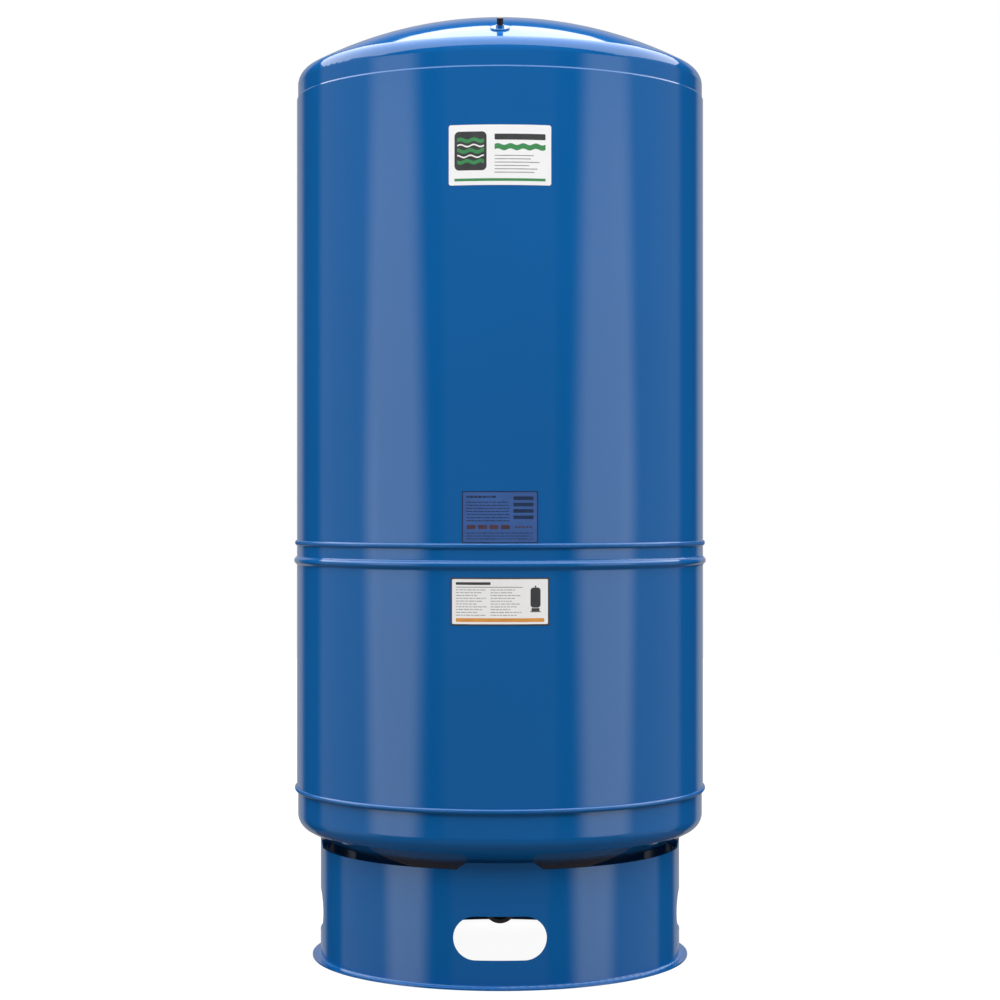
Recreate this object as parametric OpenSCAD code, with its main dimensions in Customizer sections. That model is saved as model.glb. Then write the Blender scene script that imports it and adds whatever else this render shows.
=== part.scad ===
// Standing well pressure tank with an air charge over a rubber diaphragm.
// Millimetres, +Z up. The origin lies on the floor under the tank's axis,
// and the side with the labels, the air valve and the water fitting faces -Y.
// Each piece of the tank is one module, turned about the axis where the real one is pressed or rolled.

/* [Vessel] */
// Outside diameter of the rolled shell
shell_od = 660.4; // [560:0.1:760]
// Sheet of the rolled shell
shell_t = 1.7; // [1.4:0.05:2.4]
// Sheet of the two pressed heads
head_t = 2.6; // [2:0.05:3.5]
// Radial gap between a head and the shell that it sits in
head_gap = 0.1; // [0.05:0.01:0.2]
// Crown radius of both heads, on their outer face
crown_r = 660; // [600:1:800]
// Knuckle radius of both heads, on their outer face
knuckle_r = 26.4; // [20:0.1:40]
// Height of the bottom head's lowest point above the floor
ground_gap = 127.9; // [115:0.1:160]
// Length of the lower shell, from the bottom weld to the middle weld
lower_len = 396.5; // [300:0.5:500]
// Length of the upper shell, from the middle weld to the top rim
upper_len = 715.5; // [500:0.5:900]
// Straight part of the bottom head that shows below the shell
bottom_straight = 41.1; // [30:0.1:60]
// Straight part of the top head that shows above the shell
top_straight = 24.7; // [15:0.1:40]
// How far each head reaches into the shell
head_lap = 25; // [15:1:40]

/* [Rolled bead and welds] */
// Distance from the middle weld down to the middle of the rolled bead
bead_drop = 28.5; // [24:0.1:40]
// How far the rolled bead stands out of the shell
bead_out = 4.5; // [3.5:0.1:6]
// Height of the rolled bead between its feet
bead_h = 16.4; // [15:0.1:22]
// Hollow blend radius at the bead's feet
bead_foot_r = 3.5; // [2.5:0.1:5]
// Height of the middle and bottom weld beads
weld_h = 8.5; // [6:0.1:12]
// How far the middle weld stands out
middle_weld_out = 3.1; // [2:0.1:4]
// How far the bottom weld stands out
bottom_weld_out = 3.4; // [2:0.1:4]
// Height of the fillet weld on the top rim
top_weld_h = 2.6; // [1.5:0.1:4]
// Width of the lengthwise seam welds
seam_w = 6; // [4:0.5:10]
// How far the seam welds stand out
seam_out = 1.1; // [0.5:0.1:2]
// Space between a seam weld's end and the next bead
seam_end_gap = 0.4; // [0.2:0.1:1]

/* [Base skirt] */
// Outside diameter of the skirt's wall
skirt_od = 583.5; // [520:0.5:600]
// Sheet of the skirt
skirt_t = 2.5; // [2:0.1:3.5]
// Outside diameter of the foot flange
foot_od = 609.4; // [604:0.1:640]
// Inside radius of the bend between the wall and the foot flange
foot_bend_r = 3; // [2:0.1:4]
// Open height between the skirt's top edge and the head above it
vent_h = 16.5; // [12:0.1:25]
// Open height between a tab's top edge and the head above it
tab_gap = 5.9; // [3:0.1:8]
// Width of a tab at its top edge
tab_top_w = 102; // [80:0.5:120]
// Width of a tab at its foot
tab_foot_w = 131; // [110:0.5:150]
// Width of a hand hole, end to end
hand_hole_w = 141.6; // [110:0.1:160]
// Height of a hand hole
hand_hole_h = 66.6; // [50:0.1:75]
// Height of the hand holes' centres above the floor
hand_hole_z = 76; // [60:0.5:90]
// Throat of the fillet weld behind each tab
tab_weld_leg = 7; // [4:0.5:10]

/* [Water connection] */
// Distance from the tank's axis to the mouth of the elbow
elbow_reach = 55; // [50:0.5:75]
// Drop from the bottom head's lowest point to the elbow's centre line
elbow_drop = 46.1; // [42:0.1:60]
// Bend radius of the elbow's centre line
elbow_bend_r = 28; // [26:0.5:32]
// Outside radius of the elbow's pipe
elbow_r = 22.4; // [21:0.1:24]
// Inside radius of the elbow's pipe
elbow_bore_r = 17.5; // [15:0.1:19]
// Outside radius of the socket at the elbow's mouth
socket_r = 25.8; // [24:0.1:28]
// Radius of the threaded bore in the socket
socket_bore_r = 20.2; // [19.5:0.1:21]
// Depth of the threaded bore
socket_depth = 20; // [15:0.5:24]
// Length of the socket's thick band
socket_band = 22; // [18:0.5:24]
// Outside radius of the nut that clamps the liner
clamp_nut_r = 33; // [29:0.5:40]
// Height of the clamp nut
clamp_nut_h = 5; // [4:0.5:8]
// Thickness of the seal under the clamp nut
clamp_seal_t = 2.4; // [1.5:0.1:4]

/* [Diaphragm and liner] */
// Wall of the moulded liner
liner_t = 2; // [1.5:0.1:3]
// Wall of the rubber diaphragm
diaphragm_t = 3.2; // [2:0.1:4.5]
// Fitting gap between loose inner pieces
fit_gap = 0.3; // [0.2:0.05:0.5]
// Height of the clinch ring that holds the diaphragm's rim
clinch_h = 24; // [20:0.5:30]
// Thickness of the clinch ring
clinch_t = 2.6; // [2:0.1:4]
// Height of the diaphragm's thick rim
rim_h = 17; // [15:0.5:20]

/* [Air valve] */
// Distance from the top head's side in to the valve's foot
valve_inset = 51.4; // [45:0.1:150]
// Diameter of the round plate that the valve stands on
plate_d = 30; // [24:0.5:40]
// Thickness of the round plate
plate_t = 2.4; // [1.5:0.1:4]
// Diameter of the plate's boss in the hole of the head
boss_d = 16; // [14:0.1:20]
// Outside diameter of the stem's lower part
shank_d = 10.2; // [9.6:0.1:11]
// Width across the corners of the stem's hexagon
stem_hex_d = 12.8; // [12:0.1:15]
// Height of the stem's hexagon
stem_hex_h = 3.4; // [2.5:0.1:5]
// Outside diameter of the stem's threaded neck
neck_d = 7.7; // [7.2:0.1:8]
// Outside diameter of the valve cap
cap_d = 9.7; // [9.3:0.1:12]
// Height of the valve cap
cap_h = 11; // [10:0.1:14]
// How far the stem reaches into the tank below the head's outer face
shank_reach = 9; // [6:0.5:14]

/* [Labels] */
// Thickness of a label
label_t = 0.25; // [0.15:0.05:0.4]
// Corner radius of the labels
label_corner_r = 3.4; // [2:0.1:6]
// Width of the upper label
upper_label_w = 153; // [120:1:180]
// Height of the upper label
upper_label_h = 90; // [70:1:110]
// Distance from the top rim down to the upper label's top edge
upper_label_drop = 87; // [70:1:150]
// Width of the data label
data_label_w = 111; // [90:1:140]
// Height of the data label
data_label_h = 76.5; // [60:0.5:90]
// Width of the lower label
lower_label_w = 144; // [120:1:170]
// Height of the lower label
lower_label_h = 68; // [50:0.5:80]
// Space between the rolled bead's foot and the lower label
lower_label_drop = 12; // [8:0.5:40]

/* [Hidden] */

paint_blue = [0.10, 0.38, 0.62];
steel_grey = [0.62, 0.63, 0.64];
brass_yellow = [0.78, 0.62, 0.32];
rubber_black = [0.09, 0.09, 0.09];
plastic_white = [0.88, 0.88, 0.84];

// Faces round a full turn, for very large, large, middling and small rounds
finest = 2880;
finer = 720;
fine = 240;
medium = 96;
small = 48;
// Overrun of a cutting shape past the face that it cuts
cut = 1;

shell_r = shell_od / 2;
shell_in_r = shell_r - shell_t;
head_r = shell_in_r - head_gap;
head_in_r = head_r - head_t;
skirt_r = skirt_od / 2;
skirt_in_r = skirt_r - skirt_t;
foot_r = foot_od / 2;

// Depth of a head from its knuckle's start to its crown
dish_h = crown_r - sqrt(pow(crown_r - knuckle_r, 2) - pow(head_r - knuckle_r, 2));

// Levels from the floor up
z_bottom_knuckle = ground_gap + dish_h;
z_bottom_rim = z_bottom_knuckle + bottom_straight;
z_middle = z_bottom_rim + lower_len;
z_bead = z_middle - bead_drop;
z_top_rim = z_middle + upper_len;
z_top_knuckle = z_top_rim + top_straight;
z_apex = z_top_knuckle + dish_h;
bottom_crown_z = ground_gap + crown_r;

// Radius of the bead's round, from its height and stand-out
bead_blend = (pow(bead_h / 2, 2) + pow(bead_out, 2)) / (2 * bead_out);
bead_r = bead_blend - bead_foot_r;
bead_foot_top = z_bead + bead_h / 2;
bead_foot_bottom = z_bead - bead_h / 2;

// The bottom head's outer face at a distance r from the axis
function bottom_face_z(r) = bottom_crown_z - sqrt(pow(crown_r, 2) - pow(r, 2));
z_skirt_top = bottom_face_z(skirt_r) - vent_h;
z_tab_top = bottom_face_z(skirt_r) - tab_gap;

// Angle round the axis that a width takes at a radius
function span_angle(w, r) = 2 * asin(w / 2 / r);

// Bottom of the stack that clamps the liner
liner_out_r = head_in_r - fit_gap;
liner_in_r = liner_out_r - liner_t;
liner_crown_r = crown_r - head_t - fit_gap;
// The liner's inner face at a distance r from the axis, and its lowest level
function liner_face_z(r) = bottom_crown_z - sqrt(pow(liner_crown_r - liner_t, 2) - pow(r, 2));
z_liner_in = liner_face_z(0);
z_nut = z_liner_in + clamp_seal_t;
z_spigot_top = z_nut + clamp_nut_h;

diaphragm_r = liner_in_r - fit_gap;
diaphragm_in_r = diaphragm_r - diaphragm_t;
z_rim_bottom = z_bead - rim_h / 2;
z_rim_top = z_bead + rim_h / 2;
clinch_r = diaphragm_in_r - fit_gap / 2;
clinch_rib_r = 4;
clinch_rib_out = 2.2;
// The diaphragm's hump over the clamp nut
hump_r = 60;
hump_z = z_spigot_top + fit_gap - sqrt(pow(hump_r, 2) - pow(clamp_nut_r, 2));

elbow_z = ground_gap - elbow_drop;
shank_r = shank_d / 2;
neck_r = neck_d / 2;

// The air valve's own axis starts on the top head's face and points away from it
valve_r = head_r - valve_inset;
valve_tilt = asin(valve_r / crown_r);
valve_z = z_apex - crown_r + sqrt(pow(crown_r, 2) - pow(valve_r, 2));

// Small fixed clearances and edges
pipe_gap = 0.1;
seat_gap = 0.02;
boss_gap = 0.1;
boss_under = 2;
valve_gap = 0.1;
core_gap = 0.05;
plate_edge = 1;
liner_lip_h = 3;
mouth_chamfer = 1.2;
socket_neck = 4;
elbow_weld_leg = 6;
tab_weld_root = 2;
label_lift = 0.1;

// The valve cap, from its foot just over the hexagon to the seal under its roof
cap_bottom = plate_t + stem_hex_h + valve_gap;
cap_bore_r = neck_r + valve_gap;
cap_roof = 0.8;
cap_seal_t = 0.6;
cap_seal_gap = 0.3;
cap_ribs = 24;
cap_rib = 0.25;
cap_rib_w = 0.6;
cap_rib_start = 0.6;
cap_edge = 0.5;

// The stem and the bore for the valve core
stem_top = cap_bottom + cap_h - cap_roof - cap_seal_t - cap_seal_gap;
stem_seal_t = 1;
stem_seal_w = 1;
stem_seal_r = shank_r + stem_seal_w;
core_bore_r = 2.65;
throat_r = 2.1;
core_seat = 1.4;
core_sunk = 1;
core_top = stem_top - core_sunk;

// The valve core's own pieces
core_ring_h = 1.5;
barrel_nose = 0.2;
barrel_bottom = core_seat - barrel_nose;
barrel_floor = 2.4;
barrel_head_h = 3;
barrel_lip = 1;
barrel_r = 1.9;
barrel_in_r = 1.5;
pin_r = 0.55;
pin_hole_r = 0.75;
pin_sunk = 0.2;
pin_top = stem_top - pin_sunk;
pin_foot = 0.4;
pin_collar_r = 1.3;
pin_collar_h = 0.7;
collar_drop = 4.4;
collar_bottom = core_top - collar_drop;
cup_r = 1.75;
cup_h = 1.6;
spring_bottom = barrel_bottom + barrel_floor;
spring_wire_r = 0.17;
spring_r = 1.08;
spring_turns = 6;
coil_sides = 6;
coil_steps = 12;

module ring(r_out, r_in, z0, z1) {
    rotate_extrude($fn = fine) translate([r_in, z0]) square([r_out - r_in, z1 - z0]);
}

// Half outline of a dished head, crown up, with its knuckle's start at height 0.
// It is filled from the axis outwards, and inset moves it inwards by a sheet's thickness.
module dish_outline(inset, straight) {
    knuckle_x = head_r - knuckle_r;
    crown_z = sqrt(pow(crown_r - knuckle_r, 2) - pow(knuckle_x, 2));
    intersection() {
        translate([0, -crown_z]) circle(r = crown_r - inset, $fn = finer);
        polygon([[0, 0], [knuckle_x, 0], [2 * knuckle_x, crown_z], [0, crown_z]]);
    }
    intersection() {
        translate([knuckle_x, 0]) circle(r = knuckle_r - inset, $fn = medium);
        translate([0, -straight]) square([head_r, straight + knuckle_r]);
    }
    translate([0, -straight]) square([head_r - inset, straight]);
}

// The same outline set over the shell, reaching down to a level
module dome(inset, bottom) {
    translate([0, z_top_knuckle]) dish_outline(inset, z_top_knuckle - bottom);
}

// The same outline turned over under the shell, reaching up to a level
module bowl(inset, top) {
    translate([0, z_bottom_knuckle]) mirror([0, 1]) dish_outline(inset, top - z_bottom_knuckle);
}

// Half section of the rolled bead, filled from the axis outwards
module bead_outline(inset) {
    x_bead = shell_r + bead_out - bead_r;
    x_foot = shell_r + bead_foot_r;
    foot_dz = bead_h / 2;
    translate([x_bead, z_bead]) circle(r = bead_r - inset, $fn = small);
    difference() {
        polygon([
            [shell_in_r - bead_r, z_bead - foot_dz], [x_foot, z_bead - foot_dz],
            [x_bead, z_bead],
            [x_foot, z_bead + foot_dz], [shell_in_r - bead_r, z_bead + foot_dz]
        ]);
        for (side = [-1, 1])
            translate([x_foot, z_bead + side * foot_dz]) circle(r = bead_foot_r + inset, $fn = small);
    }
}

// Round rim of a weld bead, as wide as w and standing out of radius r
module weld_round(r, w, out) {
    weld_r = (pow(w / 2, 2) + pow(out, 2)) / (2 * out);
    translate([r + out - weld_r, 0]) circle(r = weld_r, $fn = fine);
}

module rounded_sheet(w, h, r) {
    square([w - 2 * r, h], center = true);
    square([w, h - 2 * r], center = true);
    for (x = [-1, 1], y = [-1, 1])
        translate([x * (w / 2 - r), y * (h / 2 - r)]) circle(r = r, $fn = small);
}

module top_head() {
    color(paint_blue) difference() {
        rotate_extrude($fn = fine) difference() {
            dome(0, z_top_rim - head_lap);
            dome(head_t, z_top_rim - head_lap - cut);
        }
        at_valve() translate([0, 0, -3 * head_t])
            cylinder(d = boss_d + 2 * boss_gap, h = 6 * head_t, $fn = medium);
    }
}

module upper_shell() {
    color(paint_blue) ring(shell_r, shell_in_r, z_middle, z_top_rim);
}

module lower_shell() {
    color(paint_blue) rotate_extrude($fn = fine) difference() {
        union() {
            translate([0, z_bottom_rim]) square([shell_r, lower_len]);
            bead_outline(0);
        }
        translate([0, z_bottom_rim - cut]) square([shell_in_r, lower_len + 2 * cut]);
        bead_outline(shell_t);
    }
}

module bottom_head() {
    color(paint_blue) rotate_extrude($fn = fine) difference() {
        bowl(0, z_bottom_rim + head_lap);
        bowl(head_t, z_bottom_rim + head_lap + cut);
        square([elbow_r + pipe_gap, z_bottom_rim]);
    }
}

// Small fillet in the corner between the top head and the shell's rim
module top_weld() {
    color(paint_blue) rotate_extrude($fn = fine) polygon([
        [head_r, z_top_rim + seat_gap], [shell_r, z_top_rim + seat_gap],
        [head_r, z_top_rim + top_weld_h]
    ]);
}

module middle_weld() {
    color(paint_blue) rotate_extrude($fn = fine) translate([0, z_middle]) difference() {
        weld_round(shell_r, weld_h, middle_weld_out);
        translate([0, -weld_h]) square([shell_r, 2 * weld_h]);
    }
}

module bottom_weld() {
    color(paint_blue) rotate_extrude($fn = fine) translate([0, z_bottom_rim]) difference() {
        weld_round(shell_r, weld_h, bottom_weld_out);
        square([shell_r, weld_h]);
        translate([0, -weld_h]) square([head_r, 2 * weld_h]);
    }
}

// Lengthwise weld on the outside of a round wall, at the back
module seam_strip(r, z0, z1) {
    translate([0, 0, z0]) linear_extrude(z1 - z0) intersection() {
        rotate(90) weld_round(r, seam_w, seam_out);
        translate([-seam_w, r]) square([2 * seam_w, seam_w]);
    }
}

module upper_seam_weld() {
    color(paint_blue) seam_strip(
        shell_r, z_middle + weld_h / 2 + seam_end_gap, z_top_rim - seam_end_gap);
}

module lower_seam_weld() {
    color(paint_blue) {
        seam_strip(shell_r, z_bottom_rim + weld_h / 2 + seam_end_gap, bead_foot_bottom - seam_end_gap);
        seam_strip(shell_r, bead_foot_top + seam_end_gap, z_middle - weld_h / 2 - seam_end_gap);
    }
}

// Half section of the skirt: foot flange, bend and wall up to the tabs' top edge
module skirt_section() {
    bend_x = skirt_r + foot_bend_r;
    bend_z = skirt_t + foot_bend_r;
    translate([skirt_in_r, bend_z]) square([skirt_t, z_tab_top - bend_z]);
    translate([bend_x, 0]) square([foot_r - bend_x, skirt_t]);
    intersection() {
        translate([bend_x, bend_z]) difference() {
            circle(r = foot_bend_r + skirt_t, $fn = small);
            circle(r = foot_bend_r, $fn = small);
        }
        translate([skirt_in_r, 0]) square([foot_bend_r + skirt_t, bend_z]);
    }
}

module tab_outline() {
    polygon([
        [-tab_foot_w / 2, z_skirt_top - cut], [tab_foot_w / 2, z_skirt_top - cut],
        [tab_foot_w / 2, z_skirt_top], [tab_top_w / 2, z_tab_top],
        [tab_top_w / 2, z_tab_top + 2 * cut], [-tab_top_w / 2, z_tab_top + 2 * cut],
        [-tab_top_w / 2, z_tab_top], [-tab_foot_w / 2, z_skirt_top]
    ]);
}

module hand_hole_outline() {
    straight = hand_hole_w - hand_hole_h;
    translate([0, hand_hole_z]) {
        square([straight, hand_hole_h], center = true);
        for (side = [-1, 1])
            translate([side * straight / 2, 0]) circle(d = hand_hole_h, $fn = medium);
    }
}

// Cuts an outline drawn on the skirt's front through one of its four sides
module on_side(turn) {
    depth = skirt_r + cut;
    rotate([0, 0, turn]) rotate([90, 0, 0]) linear_extrude(depth) children();
}

module base_skirt() {
    color(paint_blue) difference() {
        rotate_extrude($fn = fine) skirt_section();
        difference() {
            ring(skirt_r + cut, skirt_in_r - cut, z_skirt_top, z_tab_top + cut);
            for (turn = [0 : 90 : 270]) on_side(turn) tab_outline();
        }
        for (turn = [0 : 90 : 270]) on_side(turn) hand_hole_outline();
    }
}

// The skirt's sheet is rolled round and welded between two hand holes, at the back left
module skirt_seam_weld() {
    bend_top = skirt_t + foot_bend_r;
    color(paint_blue) rotate([0, 0, 45])
        seam_strip(skirt_r, bend_top + seam_end_gap, z_skirt_top - seam_end_gap);
}

// Fillet from the inner face of each tab up to the head
module skirt_tab_welds() {
    turn = span_angle(tab_top_w, skirt_in_r);
    root_z = z_tab_top - tab_gap;
    for (side = [0 : 90 : 270])
        color(paint_blue) rotate([0, 0, side - 90 - turn / 2]) rotate_extrude(angle = turn, $fn = fine)
            difference() {
                polygon([
                    [skirt_in_r, root_z - tab_weld_leg], [skirt_in_r, root_z + tab_weld_root],
                    [skirt_in_r - tab_weld_leg, root_z + 2 * tab_weld_leg],
                    [skirt_in_r - 3 * tab_weld_leg, root_z + tab_weld_leg]
                ]);
                translate([0, bottom_crown_z]) circle(r = crown_r, $fn = finer);
            }
}

// Moulded rubber bowl. As shipped the air charge holds it down on the liner,
// with its rim's bead in the rolled bead of the shell.
module diaphragm() {
    outer = head_r - diaphragm_r;
    color(rubber_black) rotate_extrude($fn = fine) difference() {
        union() {
            difference() {
                bowl(outer, z_rim_top);
                translate([0, hump_z]) circle(r = hump_r, $fn = fine);
            }
            translate([diaphragm_in_r, z_rim_bottom])
                square([shell_in_r - fit_gap - diaphragm_in_r, rim_h]);
            translate([shell_r + bead_out - bead_r, z_bead])
                circle(r = bead_r - shell_t - fit_gap, $fn = small);
        }
        difference() {
            bowl(outer + diaphragm_t, z_rim_top + cut);
            translate([0, hump_z]) circle(r = hump_r + diaphragm_t, $fn = fine);
        }
        clinch_rib(fit_gap / 2);
    }
}

module clinch_rib(grow) {
    translate([clinch_r + clinch_rib_out - clinch_rib_r, z_bead])
        circle(r = clinch_rib_r + grow, $fn = small);
}

// Steel hoop that is expanded inside the diaphragm's rim
module clinch_ring() {
    color(steel_grey) rotate_extrude($fn = fine) {
        translate([clinch_r - clinch_t, z_bead - clinch_h / 2]) square([clinch_t, clinch_h]);
        intersection() {
            clinch_rib(0);
            translate([clinch_r - clinch_t, z_bead - clinch_rib_r])
                square([clinch_t + clinch_rib_out, 2 * clinch_rib_r]);
        }
    }
}

// Moulded lining of the water chamber, with a lip that sits under the diaphragm's rim
module liner() {
    outer = head_r - liner_out_r;
    top = z_rim_bottom - fit_gap;
    color(plastic_white) rotate_extrude($fn = fine) difference() {
        union() {
            bowl(outer, top);
            translate([liner_in_r, top - liner_lip_h])
                square([shell_in_r - fit_gap - liner_in_r, liner_lip_h]);
        }
        bowl(outer + liner_t, top + cut);
        square([elbow_r + pipe_gap, z_bottom_rim]);
    }
}

// Vertical leg, quarter bend and mouth of the elbow's pipe, at one radius
module elbow_pipe(r, top, reach) {
    bend_z = elbow_z + elbow_bend_r;
    translate([0, 0, bend_z]) cylinder(r = r, h = top - bend_z, $fn = medium);
    translate([0, -elbow_bend_r, bend_z]) rotate([0, 90, 0])
        rotate_extrude(angle = 90, $fn = medium) translate([elbow_bend_r, 0]) circle(r = r, $fn = medium);
    translate([0, -elbow_bend_r, elbow_z]) rotate([90, 0, 0])
        cylinder(r = r, h = reach - elbow_bend_r, $fn = medium);
}

module water_elbow() {
    color(steel_grey) difference() {
        union() {
            elbow_pipe(elbow_r, z_spigot_top, elbow_reach);
            translate([0, -elbow_reach, elbow_z]) rotate([-90, 0, 0]) rotate_extrude($fn = medium)
                polygon([
                    [0, 0], [socket_r - mouth_chamfer, 0], [socket_r, mouth_chamfer],
                    [socket_r, socket_band - socket_neck], [elbow_r, socket_band], [0, socket_band]
                ]);
        }
        elbow_pipe(elbow_bore_r, z_spigot_top + cut, elbow_reach + cut);
        translate([0, -elbow_reach - cut, elbow_z]) rotate([-90, 0, 0])
            cylinder(r = socket_bore_r, h = socket_depth + cut, $fn = medium);
    }
}

module elbow_weld() {
    toe_r = elbow_r + elbow_weld_leg;
    color(steel_grey) rotate_extrude($fn = medium) polygon([
        [elbow_r, bottom_face_z(elbow_r) - elbow_weld_leg],
        [toe_r, bottom_face_z(toe_r) - seat_gap],
        [elbow_r, bottom_face_z(elbow_r) - seat_gap]
    ]);
}

// Flat rubber ring that follows the liner's crown underneath
module connection_seal() {
    seal_in_r = elbow_r + pipe_gap;
    seal_r = clamp_nut_r * cos(30);
    color(rubber_black) rotate_extrude($fn = medium) polygon([
        [seal_in_r, liner_face_z(seal_in_r) + seat_gap], [seal_r, liner_face_z(seal_r) + seat_gap],
        [seal_r, z_nut], [seal_in_r, z_nut]
    ]);
}

module connection_nut() {
    color(steel_grey) translate([0, 0, z_nut]) difference() {
        cylinder(r = clamp_nut_r, h = clamp_nut_h, $fn = 6);
        translate([0, 0, -cut]) cylinder(r = elbow_r + pipe_gap, h = clamp_nut_h + 2 * cut, $fn = medium);
    }
}

// Moves a piece onto the air valve's own axis, with height 0 on the head's outer face
module at_valve() {
    translate([0, -valve_r, valve_z]) rotate([valve_tilt, 0, 0]) children();
}

// Round plate that seats on the crown, with a boss through the head's hole
module valve_plate() {
    color(paint_blue) at_valve() rotate_extrude($fn = medium) difference() {
        union() {
            difference() {
                translate([0, -plate_t]) square([plate_d / 2, 2 * plate_t]);
                translate([0, -crown_r]) circle(r = crown_r, $fn = finest);
                translate([plate_d / 2 - plate_edge, plate_t]) rotate(-45) square([plate_d, plate_edge * 2]);
            }
            translate([0, -head_t - boss_under]) square([boss_d / 2, head_t + boss_under + plate_t / 2]);
        }
        translate([0, -head_t - boss_under - cut])
            square([shank_r + valve_gap, head_t + boss_under + plate_t + 2 * cut]);
        translate([0, plate_t - stem_seal_t]) square([stem_seal_r + valve_gap, plate_t]);
    }
}

// Brass stem with a hexagon, a threaded neck and the bore that holds the valve core
module valve_stem() {
    color(brass_yellow) at_valve() difference() {
        union() {
            translate([0, 0, -shank_reach]) cylinder(r = shank_r, h = shank_reach + plate_t, $fn = medium);
            translate([0, 0, plate_t]) cylinder(d = stem_hex_d, h = stem_hex_h, $fn = 6);
            translate([0, 0, plate_t]) cylinder(r = neck_r, h = stem_top - plate_t, $fn = medium);
        }
        translate([0, 0, core_seat]) cylinder(r = core_bore_r, h = stem_top, $fn = small);
        translate([0, 0, -shank_reach - cut]) cylinder(r = throat_r, h = shank_reach + stem_top, $fn = small);
    }
}

module stem_seal() {
    color(rubber_black) at_valve() translate([0, 0, plate_t - stem_seal_t]) difference() {
        cylinder(r = stem_seal_r, h = stem_seal_t, $fn = medium);
        translate([0, 0, -cut]) cylinder(r = shank_r + valve_gap, h = stem_seal_t + 2 * cut, $fn = medium);
    }
}

// Screwed barrel of the valve core, with the spring's chamber and a lip over the pin's collar
module core_barrel() {
    color(brass_yellow) at_valve() difference() {
        union() {
            translate([0, 0, barrel_bottom])
                cylinder(r = barrel_r, h = core_top - barrel_bottom, $fn = small);
            translate([0, 0, core_top - barrel_head_h])
                cylinder(r = core_bore_r - valve_gap, h = barrel_head_h, $fn = small);
        }
        translate([0, 0, spring_bottom])
            cylinder(r = barrel_in_r, h = core_top - barrel_lip - spring_bottom, $fn = small);
        translate([0, 0, barrel_bottom - cut]) cylinder(r = pin_hole_r, h = stem_top, $fn = small);
    }
}

// Sealing ring between the barrel and its seat in the stem
module core_ring() {
    color(plastic_white) at_valve() translate([0, 0, core_seat]) difference() {
        cylinder(r = core_bore_r - valve_gap / 2, h = core_ring_h, $fn = small);
        translate([0, 0, -cut])
            cylinder(r = barrel_r + valve_gap / 2, h = core_ring_h + 2 * cut, $fn = small);
    }
}

// Pin that is pushed in to let air pass, with the collar that its spring lifts
module core_pin() {
    foot = barrel_bottom - core_gap - cup_h - pin_foot;
    color(brass_yellow) at_valve() {
        translate([0, 0, foot]) cylinder(r = pin_r, h = pin_top - foot, $fn = small);
        translate([0, 0, collar_bottom]) cylinder(r = pin_collar_r, h = pin_collar_h, $fn = small);
    }
}

// Rubber cup on the pin's foot, which closes the barrel from below
module core_cup() {
    color(rubber_black) at_valve() translate([0, 0, barrel_bottom - core_gap - cup_h]) difference() {
        cylinder(r = cup_r, h = cup_h, $fn = small);
        translate([0, 0, -cut]) cylinder(r = pin_r + core_gap, h = cup_h + 2 * cut, $fn = small);
    }
}

// Points of the wire's section where it has turned by the angle t
function coil_ring(t, rise) = [
    for (k = [0 : coil_sides - 1])
        let (a = 360 * k / coil_sides, r = spring_r + spring_wire_r * cos(a))
        [r * cos(t), r * sin(t), rise + spring_wire_r * sin(a)]
];

module core_spring() {
    steps = spring_turns * coil_steps;
    low = spring_bottom + spring_wire_r + core_gap;
    high = collar_bottom - spring_wire_r - core_gap;
    points = [
        for (i = [0 : steps]) each coil_ring(360 * i / coil_steps, low + (high - low) * i / steps)
    ];
    sides = [
        for (i = [0 : steps - 1], k = [0 : coil_sides - 1])
            let (a = i * coil_sides, b = a + coil_sides, n = (k + 1) % coil_sides)
            [a + k, b + k, b + n, a + n]
    ];
    first = [for (k = [0 : coil_sides - 1]) k];
    last = [for (k = [coil_sides - 1 : -1 : 0]) steps * coil_sides + k];
    color(steel_grey) at_valve() polyhedron(points, concat(sides, [first], [last]), convexity = 10);
}

// Ribbed cap that screws on the stem's neck
module valve_cap() {
    body_r = cap_d / 2 - cap_rib;
    color(rubber_black) at_valve() translate([0, 0, cap_bottom]) difference() {
        union() {
            rotate_extrude($fn = medium) polygon([
                [0, 0], [body_r, 0], [body_r, cap_h - cap_edge], [body_r - cap_edge, cap_h], [0, cap_h]
            ]);
            for (i = [0 : cap_ribs - 1])
                rotate([0, 0, 360 * i / cap_ribs])
                    translate([0, -cap_rib_w / 2, cap_rib_start])
                        cube([cap_d / 2, cap_rib_w, cap_h - cap_edge - 2 * cap_rib_start]);
        }
        translate([0, 0, -cut]) cylinder(r = cap_bore_r, h = cap_h - cap_roof + cut, $fn = medium);
    }
}

module cap_seal() {
    color(rubber_black) at_valve() translate([0, 0, cap_bottom + cap_h - cap_roof - cap_seal_t])
        cylinder(r = cap_bore_r - valve_gap / 2, h = cap_seal_t, $fn = medium);
}

// Label bent round the front of the shell, from its lower edge up
module front_label(w, h, z0) {
    intersection() {
        ring(shell_r + seat_gap + label_t, shell_r + seat_gap, z0, z0 + h);
        rotate([90, 0, 0]) linear_extrude(shell_r + cut)
            translate([0, z0 + h / 2]) rounded_sheet(w, h, label_corner_r);
    }
}

module upper_label() {
    color(plastic_white)
        front_label(upper_label_w, upper_label_h, z_top_rim - upper_label_drop - upper_label_h);
}

module data_label() {
    color(steel_grey) front_label(data_label_w, data_label_h, z_middle + weld_h / 2 + label_lift);
}

module lower_label() {
    color(plastic_white)
        front_label(lower_label_w, lower_label_h, bead_foot_bottom - lower_label_drop - lower_label_h);
}

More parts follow.
